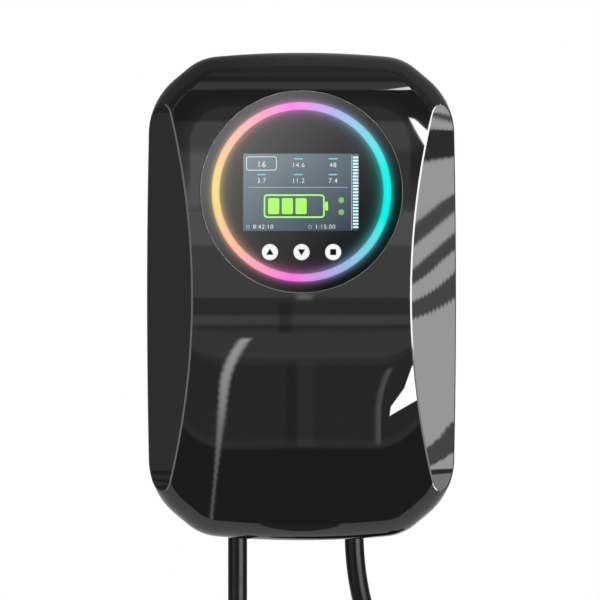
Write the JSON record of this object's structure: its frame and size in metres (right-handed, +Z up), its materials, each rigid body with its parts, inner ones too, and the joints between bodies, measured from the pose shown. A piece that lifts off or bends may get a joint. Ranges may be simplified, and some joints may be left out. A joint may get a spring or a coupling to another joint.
{
  "type": "ev wallbox",
  "caption": "Wall-mounted electric car charging box with a gloss waisted front, round lit display, push buttons and two hanging cables.",
  "frame": {"origin": "centre of the wall bracket's four holes, on its wall face", "axes": "+X to the right seen from the front, +Y into the wall, +Z up"},
  "size_m": [0.3161, 0.1226, 0.8488],
  "materials": {
    "gloss_black": "mirror gloss",
    "matte_black": "fine texture",
    "rubber_black": "matte",
    "cable_sheath": "satin",
    "steel": "zinc plated",
    "clear_glass": "polished",
    "light_ring": "lit diffuser",
    "lcd_screen": "lit display",
    "board_green": "solder resist",
    "part_blue": "moulded",
    "core_iron": "laminated",
    "winding_tape": "tape",
    "sleeve_black": "sleeve",
    "tinned_metal": "tinned",
    "terminal_green": "moulded",
    "core_insulation": "insulation",
    "ribbon_grey": "flat cable",
    "tie_fabric": "woven",
    "insert_grey": "moulded",
    "contact_silver": "silver plated",
    "white_cap": "satin"
  },
  "bodies": {
    "box": {"buzzer": "matte_black", "capacitors": "sleeve_black", "carrier_screws": "steel", "charging_lead": "cable_sheath", "coil_ties": "tie_fabric", "connector_boot": "rubber_black", "connector_cap": "rubber_black", "connector_contacts": "contact_silver", "connector_insert": "insert_grey", "connector_shell": "matte_black", "control_chip": "matte_black", "core_ferrules": "tinned_metal", "cover_gasket": "rubber_black", "cover_screws": "steel", "current_sensor": "part_blue", "display_board": "board_green", "display_board_screws": "steel", "display_carrier": "matte_black", "display_glass": "clear_glass", "front_cover": "gloss_black", "fuse": "clear_glass", "fuse_clips": "tinned_metal", "gland_bodies": "matte_black", "gland_dome_nuts": "matte_black", "gland_lock_nuts": "matte_black", "gland_seals": "rubber_black", "gland_washers": "rubber_black", "lcd_frame": "steel", "lcd_panel": "lcd_screen", "lead_coil": "cable_sheath", "lead_tail": "cable_sheath", "lens_gasket": "rubber_black", "light_guide": "light_ring", "lock_screw": "steel", "main_board": "board_green", "main_board_screws": "steel", "output_cores": "core_insulation", "output_terminal_block": "terminal_green", "radio_module": "tinned_metal", "rear_housing": "matte_black", "relays": "part_blue", "ribbon_cable": "ribbon_grey", "ribbon_headers": "matte_black", "ring_leds": "light_ring", "supply_cores": "core_insulation", "supply_lead": "cable_sheath", "supply_tail_cores": "core_insulation", "supply_tail_ferrules": "tinned_metal", "supply_terminal_block": "terminal_green", "tact_switches": "matte_black", "terminal_screws": "steel", "transformer_core": "core_iron", "transformer_winding": "winding_tape", "wall_bracket": "steel"},
    "button_up_body": {"button_up": "white_cap", "plunger_up": "matte_black"},
    "button_down_body": {"button_down": "white_cap", "plunger_down": "matte_black"},
    "button_stop_body": {"button_stop": "white_cap", "plunger_stop": "matte_black"}
  },
  "joints": [
    {"name": "press_up", "type": "slide", "parent": "box", "child": "button_up_body", "axis": [0, 1, 0], "range_m": [0, 0.0008], "stiffness_N_per_m": 2500},
    {"name": "press_down", "type": "slide", "parent": "box", "child": "button_down_body", "axis": [0, 1, 0], "range_m": [0, 0.0008], "stiffness_N_per_m": 2500},
    {"name": "press_stop", "type": "slide", "parent": "box", "child": "button_stop_body", "axis": [0, 1, 0], "range_m": [0, 0.0008], "stiffness_N_per_m": 2500}
  ]
}
